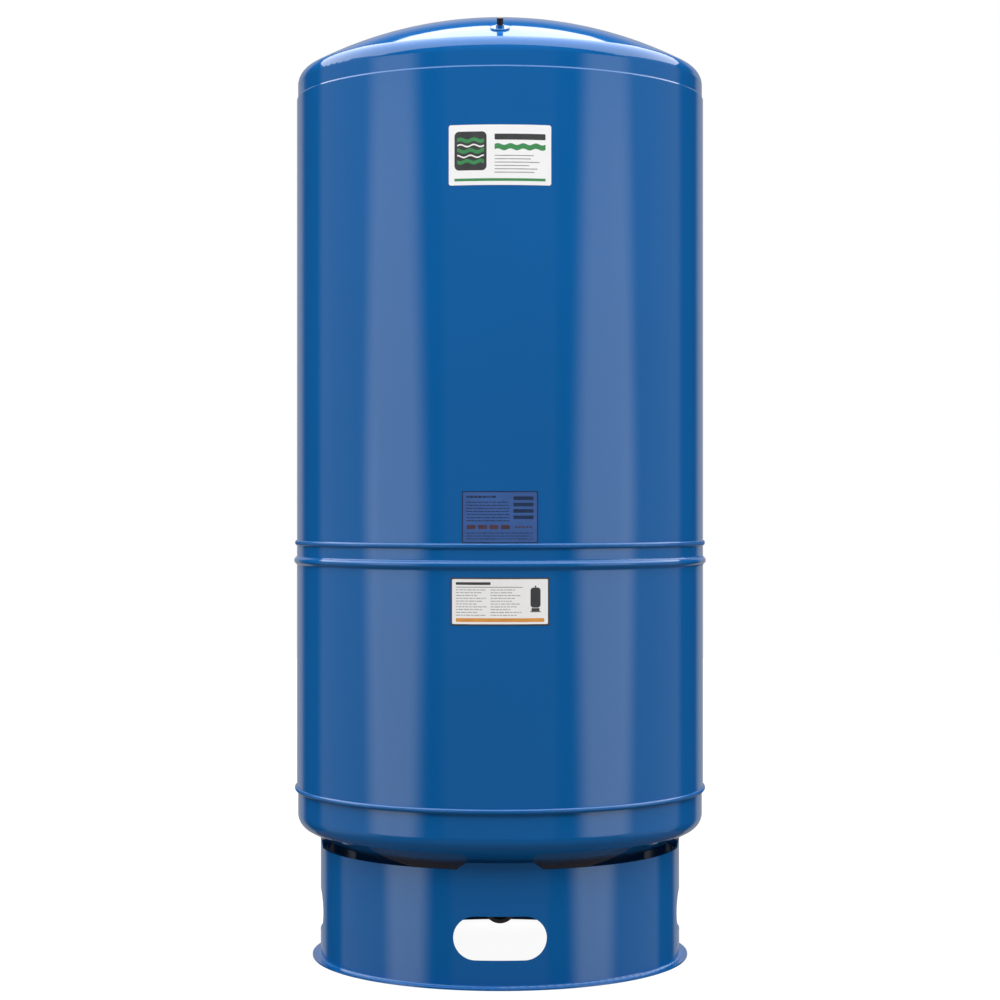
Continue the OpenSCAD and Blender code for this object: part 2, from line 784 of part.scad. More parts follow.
top_head();
upper_shell();
lower_shell();
bottom_head();
top_weld();
middle_weld();
bottom_weld();
upper_seam_weld();
lower_seam_weld();
base_skirt();
skirt_seam_weld();
skirt_tab_welds();
diaphragm();
clinch_ring();
liner();
water_elbow();
elbow_weld();
connection_seal();
connection_nut();
valve_plate();
valve_stem();
stem_seal();
core_barrel();
core_ring();
core_pin();
core_cup();
core_spring();
valve_cap();
cap_seal();
upper_label();
data_label();
lower_label();
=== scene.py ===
# %% [markdown]
# A standing well pressure tank, dressed for a studio picture
#
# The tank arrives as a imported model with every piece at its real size. This lesson
# gives each piece its finish and adds what is too fine for the model: ripples in the
# weld beads, screw threads and printed labels. Everything is in metres, the floor is
# at height 0 and the tank's axis stands on the origin. The front faces -Y.

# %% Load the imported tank
import math
import random

import bmesh
import bpy
from mathutils import Matrix, Vector


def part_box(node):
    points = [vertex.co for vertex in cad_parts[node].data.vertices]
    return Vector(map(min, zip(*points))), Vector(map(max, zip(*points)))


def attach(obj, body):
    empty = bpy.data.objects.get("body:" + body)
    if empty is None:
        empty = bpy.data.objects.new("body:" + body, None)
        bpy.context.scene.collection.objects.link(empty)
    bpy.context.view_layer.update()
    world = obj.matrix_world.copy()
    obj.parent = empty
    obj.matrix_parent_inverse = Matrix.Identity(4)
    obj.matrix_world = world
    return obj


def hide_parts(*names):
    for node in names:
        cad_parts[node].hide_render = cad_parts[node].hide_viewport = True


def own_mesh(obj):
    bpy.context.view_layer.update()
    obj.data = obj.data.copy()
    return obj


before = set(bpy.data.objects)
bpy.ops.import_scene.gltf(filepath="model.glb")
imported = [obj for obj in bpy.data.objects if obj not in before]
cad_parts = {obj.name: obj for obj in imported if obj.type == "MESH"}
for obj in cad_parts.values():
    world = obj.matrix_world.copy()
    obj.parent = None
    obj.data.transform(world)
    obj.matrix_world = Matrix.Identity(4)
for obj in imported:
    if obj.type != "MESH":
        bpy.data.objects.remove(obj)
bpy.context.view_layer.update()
MM = 0.001

# %% [markdown]
# The camera
#
# The photograph was taken with a long lens, level with the middle of the tank. A level
# camera keeps the walls upright, and its distance shows in how much the round edges
# above and below it curve. Both were worked out from those curves before any modelling.

# %% Place the camera
CAMERA_AWAY = 3.7867
CAMERA_HEIGHT = 0.7374
LENS_MM = 83.5
SENSOR_MM = 36.0

camera_data = bpy.data.cameras.new("studio_camera")
camera_data.lens = LENS_MM
camera_data.sensor_width = SENSOR_MM
camera = bpy.data.objects.new("studio_camera", camera_data)
camera.location = (0, -CAMERA_AWAY, CAMERA_HEIGHT)
camera.rotation_euler = (math.radians(90), 0, 0)
bpy.context.scene.collection.objects.link(camera)
bpy.context.scene.camera = camera
print("camera at", tuple(camera.location), "lens", LENS_MM)

# %% [markdown]
# Three helpers for node trees
#
# Every finish below is a tree of shader nodes. Typing each node out in full hides what
# the tree does. So node() adds one with its settings and fills its sockets, where a
# socket as a value means a link and anything else is the socket's own number. The
# others make a math node and start a node group.


# %% Helpers for node trees
def node(tree, kind, inputs=None, **settings):
    made = tree.nodes.new(kind)
    for name, value in settings.items():
        setattr(made, name, value)
    for key, value in (inputs or {}).items():
        if isinstance(value, bpy.types.NodeSocket):
            tree.links.new(value, made.inputs[key])
        else:
            made.inputs[key].default_value = value
    return made


def sum_of(tree, first, second, operation="ADD"):
    return node(tree, "ShaderNodeMath", {0: first, 1: second}, operation=operation).outputs[0]


def new_group(name, inputs, outputs):
    tree = bpy.data.node_groups.new(name, "ShaderNodeTree")
    for label, kind, value in inputs:
        socket = tree.interface.new_socket(label, in_out="INPUT", socket_type=kind)
        socket.default_value = value
    for label, kind in outputs:
        tree.interface.new_socket(label, in_out="OUTPUT", socket_type=kind)
    inlet = tree.nodes.new("NodeGroupInput").outputs
    outlet = tree.nodes.new("NodeGroupOutput").inputs
    return tree, inlet, outlet


FLOAT = "NodeSocketFloat"
print("node helpers ready")

# %% [markdown]
# The light: softboxes in the world
#
# Gloss paint is mostly a mirror of the studio, so the pale stripes down the tank are
# tall softboxes at its sides, and the white glint on the dome is a box over and behind
# it. Lamps could stand for them, but every lamp hangs at one distance, and the stripes
# would bend. Boxes written into the world by direction stay straight, light the tank
# from all sides at a plain level, and look the same from any camera.


# %% A soft-edged band between two values
def build_soft_band():
    tree, inlet, outlet = new_group(
        "soft_band",
        [("Value", FLOAT, 0.0), ("From", FLOAT, 0.0), ("To", FLOAT, 1.0), ("Edge", FLOAT, 0.1)],
        [("Mask", FLOAT)],
    )
    half = sum_of(tree, inlet["Edge"], 0.5, "MULTIPLY")
    sides = []
    for name, low, high in (("From", 0.0, 1.0), ("To", 1.0, 0.0)):
        start = sum_of(tree, inlet[name], half, "SUBTRACT")
        end = sum_of(tree, inlet[name], half, "ADD")
        ramp = node(
            tree, "ShaderNodeMapRange",
            {"Value": inlet["Value"], "From Min": start, "From Max": end,
             "To Min": low, "To Max": high},
            interpolation_type="SMOOTHSTEP",
        )
        sides.append(ramp.outputs[0])
    tree.links.new(sum_of(tree, sides[0], sides[1], "MULTIPLY"), outlet["Mask"])
    return tree


soft_band = build_soft_band()
print("softbox mask:", soft_band.name)

# %% [markdown]
# A direction in the world is split into its angle round the tank, its height angle, and
# where it would pierce a ceiling. The wall boxes are bands of the first two, and the
# ceiling box is a band of the last. The strong side box gets narrower away from eye
# level. Camera rays see plain white, which is the photograph's background, and nothing
# else about the light changes with the camera.

# %% The studio world
FRONT_BOX = 0.12
SIDE_BOX = 1.75
SIDE_FILL = 0.34
BACKDROP = 0.40
AMBIENT = 0.015
CEILING_BOX = 3.3
LOWEST_RISE = 0.001


def build_world():
    world = bpy.data.worlds.new("studio_world")
    world.use_nodes = True
    tree = world.node_tree
    tree.nodes.clear()
    way = node(tree, "ShaderNodeTexCoord").outputs["Generated"]
    axis = node(tree, "ShaderNodeSeparateXYZ", {0: way}).outputs
    aside = sum_of(tree, axis["X"], 0.0, "ABSOLUTE")
    round_angle = sum_of(tree, aside, sum_of(tree, axis["Y"], -1.0, "MULTIPLY"), "ARCTAN2")
    height_angle = sum_of(tree, axis["Z"], 0.0, "ARCSINE")
    off_level = sum_of(tree, height_angle, 0.0, "ABSOLUTE")
    above = sum_of(tree, axis["Z"], LOWEST_RISE, "MAXIMUM")
    ceiling_x = sum_of(tree, aside, above, "DIVIDE")
    ceiling_y = sum_of(tree, axis["Y"], above, "DIVIDE")

    def band(value, start, end, edge):
        settings = {"Value": value, "From": start, "To": end, "Edge": edge}
        return node(tree, "ShaderNodeGroup", settings, node_tree=soft_band).outputs[0]

    def wall_box(level, start, end, edge, low, high, fade, taper=0.0):
        # Angles round the tank and up the wall, in degrees
        slant = sum_of(tree, off_level, taper, "MULTIPLY")
        start_line = sum_of(tree, slant, math.radians(start))
        end_line = sum_of(tree, math.radians(end), slant, "SUBTRACT")
        mask = sum_of(
            tree,
            band(round_angle, start_line, end_line, math.radians(edge)),
            band(height_angle, math.radians(low), math.radians(high), math.radians(fade)),
            "MULTIPLY",
        )
        return sum_of(tree, mask, level, "MULTIPLY")

    def ceiling_box(level, near, far, edge, half_width, fade):
        mask = sum_of(
            tree,
            band(ceiling_y, near, far, edge),
            band(ceiling_x, -1.0, half_width, fade),
            "MULTIPLY",
        )
        return sum_of(tree, mask, level, "MULTIPLY")

    total = AMBIENT
    for box in (
        wall_box(FRONT_BOX, -9, 31, 6, -18, 45, 10),
        wall_box(SIDE_BOX, 43.0, 79, 13, -15, 13, 10, taper=0.44),
        wall_box(SIDE_FILL, 73, 120, 9, -40, 35, 20),
        wall_box(BACKDROP, 147, 400, 12, -60, 27, 12),
        ceiling_box(CEILING_BOX, -0.90, 1.45, 0.05, 2.5, 0.40),
    ):
        total = sum_of(tree, total, box)
    studio = node(tree, "ShaderNodeBackground", {"Color": (1, 1, 1, 1), "Strength": total})
    white = node(tree, "ShaderNodeBackground", {"Color": (1, 1, 1, 1), "Strength": 1.0})
    rays = node(tree, "ShaderNodeLightPath").outputs
    shown = sum_of(tree, rays["Is Camera Ray"], rays["Is Transmission Ray"], "MAXIMUM")
    mix = node(tree, "ShaderNodeMixShader", {0: shown, 1: studio.outputs[0], 2: white.outputs[0]})
    node(tree, "ShaderNodeOutputWorld", {"Surface": mix.outputs[0]})
    bpy.context.scene.world = world
    return world


studio_world = build_world()
bpy.context.scene.view_settings.view_transform = "Standard"
print("world nodes:", len(studio_world.node_tree.nodes))

# %% [markdown]
# Two lamps, over the front and overhead
#
# The photograph's walls grow a little brighter towards the top, as they do under a lamp
# that hangs near. Light from the world is equally strong at every height, so one wide
# area lamp over the front adds that change. A second one straight overhead lifts what
# faces up: the dome and the tops of the beads. Both are hidden from reflections, where
# each would show as a bright patch with bent edges.


# %% Hang the lamps
def hang_lamp(name, watts, place, aim, width, depth):
    data = bpy.data.lights.new(name, "AREA")
    data.shape = "RECTANGLE"
    data.size = width
    data.size_y = depth
    data.energy = watts
    lamp = bpy.data.objects.new(name, data)
    lamp.location = place
    lamp.rotation_euler = (Vector(aim) - Vector(place)).to_track_quat("-Z", "Y").to_euler()
    lamp.visible_glossy = False
    lamp.visible_camera = False
    bpy.context.scene.collection.objects.link(lamp)
    print(name, "at", place, "with", watts, "W")


hang_lamp("front_lamp", 21.8, (0, -1.7, 2.35), (0, 0, 1.15), 2.6, 1.2)
hang_lamp("top_lamp", 12, (0, -0.3, 3.4), (0, -0.3, 0), 1.2, 1.2)

# %% [markdown]
# The floor
#
# A pale studio floor that fades into a white background needs no horizon. Camera rays
# see it as nearly white light plus a little real shading, so the tank's soft shadow
# stays. Inside the skirt that light is stronger: painted light that lifts the shade there.
# Light that bounces off it is weaker, because the photograph's underside is dark.
# Mirrored rays that skim it pass through to the side boxes, which reach below the tank
# there. Steep ones, from under the round bottom, meet the brown-grey paper, and so does
# every ray inside the skirt, where the paper gives a little light of its own in place of
# the glow that a real white floor would carry in through the openings. Mirrored rays see
# the paper about four times darker than bounced light does: a painted shade in the
# reflections on the tank's underside.

# %% Lay the floor
FLOOR_SIZE = 14
SKIM_FACING = 0.60
GLOW_INSIDE, GLOW_OUTSIDE = 0.94, 0.84
LIFT_INSIDE = 0.035
FOOT_FLANGE = 12 * MM
skirt_wall_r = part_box("base_skirt")[1][0] - FOOT_FLANGE


def build_floor():
    mesh = bpy.data.meshes.new("studio_floor")
    bm = bmesh.new()
    bmesh.ops.create_grid(bm, x_segments=8, y_segments=8, size=FLOOR_SIZE / 2)
    bm.to_mesh(mesh)
    bm.free()
    floor = bpy.data.objects.new("studio_floor", mesh)
    bpy.context.scene.collection.objects.link(floor)
    material = bpy.data.materials.new("floor_paper")
    material.use_nodes = True
    tree = material.node_tree
    tree.nodes.clear()
    place = node(tree, "ShaderNodeTexCoord").outputs["Object"]
    fibre = node(tree, "ShaderNodeTexNoise", {"Vector": place, "Scale": 260.0, "Detail": 4.0})
    tooth = node(
        tree, "ShaderNodeBump", {"Height": fibre.outputs[0], "Strength": 0.1, "Distance": 0.0002}
    )
    rays = node(tree, "ShaderNodeLightPath").outputs
    # The paper is about four times darker to mirrored rays: painted shade in the reflections on the
    # tank's underside.
    paper_and_mirror_shade = node(
        tree, "ShaderNodeMix",
        {"Factor": rays["Is Glossy Ray"], "A": (0.24, 0.21, 0.18, 1), "B": (0.060, 0.046, 0.040, 1)},
        data_type="RGBA",
    )
    paper = node(
        tree, "ShaderNodeBsdfDiffuse", {"Color": paper_and_mirror_shade.outputs["Result"], "Normal": tooth.outputs[0]}
    )
    shade = node(
        tree, "ShaderNodeBsdfDiffuse",
        {"Color": (0.13, 0.13, 0.13, 1), "Normal": tooth.outputs[0]},
    )
    from_axis = node(tree, "ShaderNodeVectorMath", {0: place}, operation="LENGTH").outputs[1]
    outside = sum_of(tree, from_axis, skirt_wall_r, "GREATER_THAN")
    # The camera sees a stronger glow inside the skirt: painted light that lifts the shade under the
    # tank.
    bright = node(
        tree, "ShaderNodeMapRange",
        {"Value": outside, "To Min": GLOW_INSIDE, "To Max": GLOW_OUTSIDE},
    )
    glow = node(tree, "ShaderNodeEmission", {"Color": (1, 1, 1, 1), "Strength": bright.outputs[0]})
    seen = node(tree, "ShaderNodeAddShader", {0: shade.outputs[0], 1: glow.outputs[0]})
    gap = node(tree, "ShaderNodeBsdfTransparent", {"Color": (1, 1, 1, 1)})
    shown = sum_of(tree, rays["Is Camera Ray"], rays["Is Transmission Ray"], "MAXIMUM")
    facing = node(tree, "ShaderNodeLayerWeight", {"Blend": 0.5}).outputs["Facing"]
    skims = sum_of(tree, sum_of(tree, facing, SKIM_FACING, "GREATER_THAN"), outside, "MULTIPLY")
    passed = sum_of(tree, rays["Is Glossy Ray"], skims, "MULTIPLY")
    lift = node(
        tree, "ShaderNodeMapRange", {"Value": outside, "To Min": LIFT_INSIDE, "To Max": 0.0}
    )
    dim = node(
        tree, "ShaderNodeEmission", {"Color": (1, 0.82, 0.70, 1), "Strength": lift.outputs[0]}
    )
    unseen = node(tree, "ShaderNodeAddShader", {0: paper.outputs[0], 1: dim.outputs[0]})
    solid = node(
        tree, "ShaderNodeMixShader", {0: shown, 1: unseen.outputs[0], 2: seen.outputs[0]}
    )
    mirrored = node(
        tree, "ShaderNodeMixShader", {0: passed, 1: solid.outputs[0], 2: gap.outputs[0]}
    )
    node(tree, "ShaderNodeOutputMaterial", {"Surface": mirrored.outputs[0]})
    mesh.materials.append(material)
    return floor


studio_floor = build_floor()
print("floor:", FLOOR_SIZE, "m across")

# %% [markdown]
# Shared effects
#
# Paint, rubber and moulded plastic all have a fine surface that catches light, at
# different sizes. One node group makes that texture from two sizes of noise, and each
# material sets its own scale. A second group gives slow, cloudy differences, which keep
# a large painted wall from looking like one flat colour.


# %% Node groups for fine grain and slow clouds
def build_fine_grain():
    tree, inlet, outlet = new_group(
        "fine_grain",
        [("Scale", FLOAT, 500.0), ("Coarse", FLOAT, 0.5)],
        [("Height", FLOAT), ("Shade", FLOAT)],
    )
    place = node(tree, "ShaderNodeTexCoord").outputs["Object"]
    small = node(
        tree, "ShaderNodeTexNoise", {"Vector": place, "Scale": inlet["Scale"], "Detail": 2.0}
    )
    wide_scale = sum_of(tree, inlet["Scale"], 0.21, "MULTIPLY")
    wide = node(tree, "ShaderNodeTexNoise", {"Vector": place, "Scale": wide_scale, "Detail": 1.0})
    weighted = sum_of(tree, wide.outputs[0], inlet["Coarse"], "MULTIPLY")
    tree.links.new(sum_of(tree, small.outputs[0], weighted), outlet["Height"])
    tree.links.new(small.outputs[0], outlet["Shade"])
    return tree


def build_slow_clouds():
    tree, inlet, outlet = new_group(
        "slow_clouds",
        [("Scale", FLOAT, 6.0), ("Low", FLOAT, 0.95), ("High", FLOAT, 1.05)],
        [("Value", FLOAT)],
    )
    place = node(tree, "ShaderNodeTexCoord").outputs["Object"]
    cloud = node(
        tree, "ShaderNodeTexNoise", {"Vector": place, "Scale": inlet["Scale"], "Detail": 3.0}
    )
    spread = node(
        tree, "ShaderNodeMapRange",
        {"Value": cloud.outputs[0], "From Min": 0.3, "From Max": 0.7,
         "To Min": inlet["Low"], "To Max": inlet["High"]},
    )
    tree.links.new(spread.outputs[0], outlet["Value"])
    return tree


fine_grain = build_fine_grain()
slow_clouds = build_slow_clouds()
print("shared groups:", fine_grain.name, slow_clouds.name)

# %% [markdown]
# A base for every finish
#
# Each finish is one Principled shader, because that is what other programs read. What
# changes over the surface comes in through nodes, and what is the same all over, such
# as a coat or a metal's strength, stays on the shader's own sockets.


# %% Start a finish
def grain_of(tree, scale, coarse):
    settings = {"Scale": scale, "Coarse": coarse}
    return node(tree, "ShaderNodeGroup", settings, node_tree=fine_grain).outputs


def clouds_of(tree, scale, low, high):
    settings = {"Scale": scale, "Low": low, "High": high}
    return node(tree, "ShaderNodeGroup", settings, node_tree=slow_clouds).outputs["Value"]


def finish(name, color, roughness, bump=0.1, depth=0.00005, grain=900.0, coarse=0.5,
           cloud=(5.0, 0.95, 1.05), rough_cloud=(14.0, 0.9, 1.15), **shader_values):
    material = bpy.data.materials.new(name)
    material.use_nodes = True
    tree = material.node_tree
    tree.nodes.clear()
    texture = grain_of(tree, grain, coarse)
    shade = clouds_of(tree, *cloud)
    tint = node(
        tree, "ShaderNodeMix", {"Factor": 1.0, "A": (*color, 1.0), "B": shade},
        data_type="RGBA", blend_type="MULTIPLY",
    )
    gloss = sum_of(tree, clouds_of(tree, *rough_cloud), roughness, "MULTIPLY")
    relief = node(
        tree, "ShaderNodeBump", {"Height": texture["Height"], "Strength": bump, "Distance": depth}
    )
    shader = node(
        tree, "ShaderNodeBsdfPrincipled",
        {"Base Color": tint.outputs["Result"], "Roughness": gloss, "Normal": relief.outputs[0]},
    )
    for key, value in shader_values.items():
        shader.inputs[key.replace("_", " ")].default_value = value
    node(tree, "ShaderNodeOutputMaterial", {"Surface": shader.outputs[0]})
    return material


print("finish() ready")

# %% [markdown]
# The tank's enamel
#
# The tank is sprayed blue and baked. Under the gloss the colour is deep and even, and
# the surface has a faint orange peel that softens the edges of each reflection. A coat
# layer over a plain base gives that look: the base holds the colour, and the coat holds
# the sharp reflections.

# %% Mix the enamel
ENAMEL_BLUE = (0.0036, 0.0930, 0.306)

enamel = finish(
    "blue_enamel", ENAMEL_BLUE, 0.42, bump=0.06, depth=0.00012, grain=420.0, coarse=1.6,
    cloud=(3.0, 0.97, 1.03), Coat_Weight=1.0, Coat_Roughness=0.05, Coat_IOR=1.5,
    Specular_IOR_Level=0.0,
)
enamel_tree = enamel.node_tree
enamel_shader = enamel_tree.nodes["Principled BSDF"]
enamel_relief = enamel_shader.inputs["Normal"].links[0].from_socket
enamel_tree.links.new(enamel_relief, enamel_shader.inputs["Coat Normal"])
print("enamel:", enamel.name, ENAMEL_BLUE)

# %% [markdown]
# Metals, rubber and plastics
#
# The fittings are small, but they are seen up close from below and above. The elbow is
# bead-blasted stainless steel, the valve is turned brass, the clinch ring is zinc-plated,
# and the seals, the diaphragm and the liner are rubber and plastic with a moulded grain.

# %% Mix the fittings' finishes
BRASS_LOOK = dict(color=(0.72, 0.50, 0.20), roughness=0.24, bump=0.2, depth=0.00003,
                  grain=3500.0, cloud=(180.0, 0.85, 1.05))

stainless = finish("blasted_stainless", (0.50, 0.47, 0.43), 0.36, bump=0.35, depth=0.00008,
                   grain=1500.0, cloud=(40.0, 0.82, 1.08), Metallic=1.0)
plated = finish("zinc_plate", (0.62, 0.63, 0.64), 0.30, bump=0.2, depth=0.00005,
                grain=2200.0, cloud=(60.0, 0.85, 1.05), Metallic=1.0)
brass = finish("turned_brass", Metallic=1.0, **BRASS_LOOK)
rubber = finish("moulded_rubber", (0.020, 0.020, 0.021), 0.62, bump=0.5, depth=0.0001,
                grain=1400.0, cloud=(25.0, 0.8, 1.25))
liner = finish("liner_plastic", (0.78, 0.77, 0.72), 0.40, bump=0.3, depth=0.00008,
               grain=900.0, cloud=(8.0, 0.93, 1.03))
cap_black = finish("cap_plastic", (0.022, 0.016, 0.014), 0.34, bump=0.4, depth=0.00004,
                   grain=5200.0, cloud=(300.0, 0.8, 1.3))
print("fittings:", [m.name for m in (stainless, plated, brass, rubber, liner, cap_black)])

# %% [markdown]
# A valve that was sprayed with its cap on
#
# The air valve is brass, but its cap was in place when the tank was sprayed, so the foot
# that shows below the cap is blue. The mask is the height along the valve's own axis:
# paint below the line and bare brass above it, with a ragged edge from a little noise.

# %% Paint the valve's foot
VALVE_AXIS = Vector((0, -0.419697, 0.907664))
VALVE_FOOT = Vector((0, -0.277, 1.450762))
PAINT_LINE = 6.6 * MM
RAGGED_BY = 0.6 * MM


def paint_the_foot(tree):
    shader = tree.nodes["Principled BSDF"]
    metal = shader.inputs["Base Color"].links[0].from_socket
    place = node(tree, "ShaderNodeTexCoord").outputs["Object"]
    offset = node(tree, "ShaderNodeVectorMath", {0: place, 1: VALVE_FOOT}, operation="SUBTRACT")
    along = node(
        tree, "ShaderNodeVectorMath", {0: offset.outputs[0], 1: VALVE_AXIS}, operation="DOT_PRODUCT"
    )
    rag = node(tree, "ShaderNodeTexNoise", {"Vector": place, "Scale": 900.0, "Detail": 2.0})
    edge = sum_of(tree, sum_of(tree, rag.outputs[0], 0.5, "SUBTRACT"), RAGGED_BY, "MULTIPLY")
    bare = sum_of(tree, sum_of(tree, along.outputs["Value"], edge), PAINT_LINE, "GREATER_THAN")
    base = node(
        tree, "ShaderNodeMix", {"Factor": bare, "A": (*ENAMEL_BLUE, 1), "B": metal},
        data_type="RGBA",
    )
    tree.links.new(base.outputs["Result"], shader.inputs["Base Color"])
    tree.links.new(bare, shader.inputs["Metallic"])


stem_brass = finish("part_sprayed_brass", Coat_Weight=0.4, **BRASS_LOOK)
paint_the_foot(stem_brass.node_tree)
print("valve foot painted up to", PAINT_LINE)

# %% [markdown]
# Label films
#
# The upper and lower labels are white plastic film, and the middle one is a clear film
# with a faint blue-grey cast that takes its colour from the paint below. Film is smooth
# and a little glossy, with the paint's orange peel pressed through from under it.

# %% Mix the label films
white_film = finish("white_film", (0.77, 0.785, 0.81), 0.33, bump=0.08, depth=0.00005,
                    grain=300.0, coarse=1.5, cloud=(12.0, 0.98, 1.01))
blue_film = finish("clear_film_over_blue", (0.035, 0.094, 0.285), 0.30, bump=0.08, depth=0.00005,
                   grain=300.0, coarse=1.5, cloud=(30.0, 0.90, 1.10), Coat_Weight=0.6,
                   Coat_Roughness=0.12)
print("films:", white_film.name, blue_film.name)

# %% [markdown]
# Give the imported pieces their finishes
#
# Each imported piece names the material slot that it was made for, so one table from slot
# to finish dresses them all, and a piece with a slot that the table lacks is an error
# that shows at once.

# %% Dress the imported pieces
FINISH_OF_SLOT = {
    "tank_paint": enamel,
    "stainless": stainless,
    "plated_steel": plated,
    "brass": brass,
    "black_rubber": rubber,
    "liner_plastic": liner,
    "cap_plastic": cap_black,
    "upper_label_film": white_film,
    "data_label_foil": blue_film,
    "lower_label_film": white_film,
}
for name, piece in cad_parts.items():
    for slot in piece.material_slots:
        slot.material = FINISH_OF_SLOT[slot.material.name.split(".")[0]]
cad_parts["valve_stem"].material_slots[0].material = stem_brass
print("dressed", len(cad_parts), "pieces")

# %% [markdown]
# Small helpers for new pieces
#
# Every new piece ends the same way: its mesh is stored, shaded smooth and tied to the
# body that it moves with. A ring is made from a flat grid that is wrapped round the
# axis, one grid row for each point of its section, and its two ends are then merged.
# A spin would do as well, but it is slow for thousands of steps.


# %% Helpers for new pieces
def piece_from(bm, name, material, body="tank", smooth=True):
    mesh = bpy.data.meshes.new(name)
    bm.to_mesh(mesh)
    bm.free()
    mesh.materials.append(material)
    for face in mesh.polygons:
        face.use_smooth = smooth
    piece = bpy.data.objects.new(name, mesh)
    bpy.context.scene.collection.objects.link(piece)
    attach(piece, body)
    return piece


def wrapped_ring(section, steps):
    bm = bmesh.new()
    rows = len(section)
    bmesh.ops.create_grid(bm, x_segments=steps, y_segments=rows, size=0.5)
    for vert in bm.verts:
        turn = (vert.co.x + 0.5) * 2 * math.pi
        step = (vert.co.y + 0.5) * rows
        radius, height = section[round(step) % rows]
        vert.co = (radius * math.cos(turn), radius * math.sin(turn), height)
    bmesh.ops.remove_doubles(bm, verts=bm.verts, dist=0.000002)
    bmesh.ops.recalc_face_normals(bm, faces=bm.faces)
    return bm


print("piece helpers ready")

# %% [markdown]
# Rippled weld beads
#
# The two beads round the tank were laid by a machine torch, which leaves a scale pattern
# of small arcs, one every few millimetres. A bump texture could fake it, but the beads
# stand proud against the white background, where a bump leaves the edge smooth. Here
# each point of a ring is moved in by its place in the pattern. The arcs lag at the
# bead's edges, because the torch moves on while the metal sets.

# %% Ripple the middle and bottom beads
RIPPLE_PITCH = 3.1 * MM
RIPPLE_DEPTH = 0.7 * MM
ARC_LAG = 0.9
CREST_WIDTH = 0.7
STEPS_PER_RIPPLE = 6
BEAD_POINTS = 9
HEAD_INSET = 1.8 * MM

wall_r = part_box("upper_shell")[1][0]
head_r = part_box("top_weld")[1][0] - HEAD_INSET


def ripple(angle, lean, ripples, seed):
    turn = (angle / (2 * math.pi) * ripples + ARC_LAG * lean * lean) % 1.0
    wobble = 0.10 * math.sin(angle * 23 + seed) + 0.08 * math.sin(angle * 57 + 2 * seed)
    return min(1.0, abs(math.sin(math.pi * turn)) ** CREST_WIDTH + wobble)


def weld_bead(name, node_name, root_below, seed):
    low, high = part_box(node_name)
    outer = high[0]
    middle = (low[2] + high[2]) / 2
    half = (high[2] - low[2]) / 2
    section = []
    for i in range(BEAD_POINTS):
        turn = math.pi * (i / (BEAD_POINTS - 1) - 0.5)
        root = root_below if turn < 0 else wall_r
        section.append((root + (outer - root) * math.cos(turn), middle + half * math.sin(turn)))
    ripples = round(2 * math.pi * outer / RIPPLE_PITCH)
    bm = wrapped_ring(section, ripples * STEPS_PER_RIPPLE)
    for vert in bm.verts:
        radius = math.hypot(vert.co.x, vert.co.y)
        proud = max(0.0, (radius - wall_r) / (outer - wall_r))
        lean = (vert.co.z - middle) / half
        crest = ripple(math.atan2(vert.co.y, vert.co.x), lean, ripples, seed)
        factor = 1 - RIPPLE_DEPTH * proud * (1 - crest) / radius
        vert.co.x *= factor
        vert.co.y *= factor
    print(name, "ripples:", ripples, "faces:", len(bm.faces))
    return piece_from(bm, name, enamel)


middle_bead = weld_bead("middle_weld_bead", "middle_weld", wall_r, 1.3)
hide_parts("middle_weld")
bottom_bead = weld_bead("bottom_weld_bead", "bottom_weld", head_r, 4.1)
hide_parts("bottom_weld")

# %% [markdown]
# The fine weld on the top rim
#
# Where the top head slips into the shell, a fine weld fills the corner. It is hollow, as
# a weld that was drawn into a corner is, so only a hair of it turns up far enough to
# catch the ceiling light. That hair is the thin bright line under the dome.

# %% Draw the rim weld
RIM_POINTS = 7
RIM_HOLLOW = 1.7
RIM_STEPS = 480


def rim_weld():
    low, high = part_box("top_weld")
    width = high[0] - head_r
    height = high[2] - low[2]
    section = [(head_r, low[2])]
    for i in range(RIM_POINTS):
        turn = math.pi / 2 * i / (RIM_POINTS - 1)
        section.append((
            high[0] - width * math.cos(turn) ** RIM_HOLLOW,
            high[2] - height * math.sin(turn) ** RIM_HOLLOW,
        ))
    return piece_from(wrapped_ring(section, RIM_STEPS), "top_rim_weld", enamel)


top_rim_weld = rim_weld()
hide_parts("top_weld")

# %% [markdown]
# Screw threads
#
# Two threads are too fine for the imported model: the one on the air valve's neck, under
# its cap, and the pipe thread in the water socket. A thread is one small wedge that is
# spun round an axis and moved along it at every step. Each is made upright at the
# origin and then turned and moved onto its own axis, in the mesh itself.

# %% Cut the threads
TURN_STEPS = 48
NECK_PITCH = 0.794 * MM
NECK_TURNS = 9
NECK_START = 7.2 * MM
SOCKET_PITCH = 2.2 * MM
SOCKET_TURNS = 7
SOCKET_START = 2.2 * MM
SOCKET_HEIGHT = 81.8 * MM


def wound(name, section, pitch, turns, place, material):
    bm = bmesh.new()
    start = bm.faces.new([bm.verts.new((radius, 0, height)) for radius, height in section])
    bmesh.ops.spin(
        bm, geom=[start], cent=(0, 0, 0), axis=(0, 0, 1), dvec=(0, 0, pitch / TURN_STEPS),
        angle=turns * 2 * math.pi, steps=round(turns * TURN_STEPS),
    )
    bmesh.ops.remove_doubles(bm, verts=bm.verts, dist=0.000001)
    bmesh.ops.recalc_face_normals(bm, faces=bm.faces)
    bmesh.ops.transform(bm, matrix=place, verts=bm.verts)
    print(name, "turns:", turns, "faces:", len(bm.faces))
    return piece_from(bm, name, material)


def thread_section(root, crest, pitch):
    half = pitch * 0.42
    tip = half * 0.15
    return [(root, -half), (crest, -tip), (crest, tip), (root, half)]


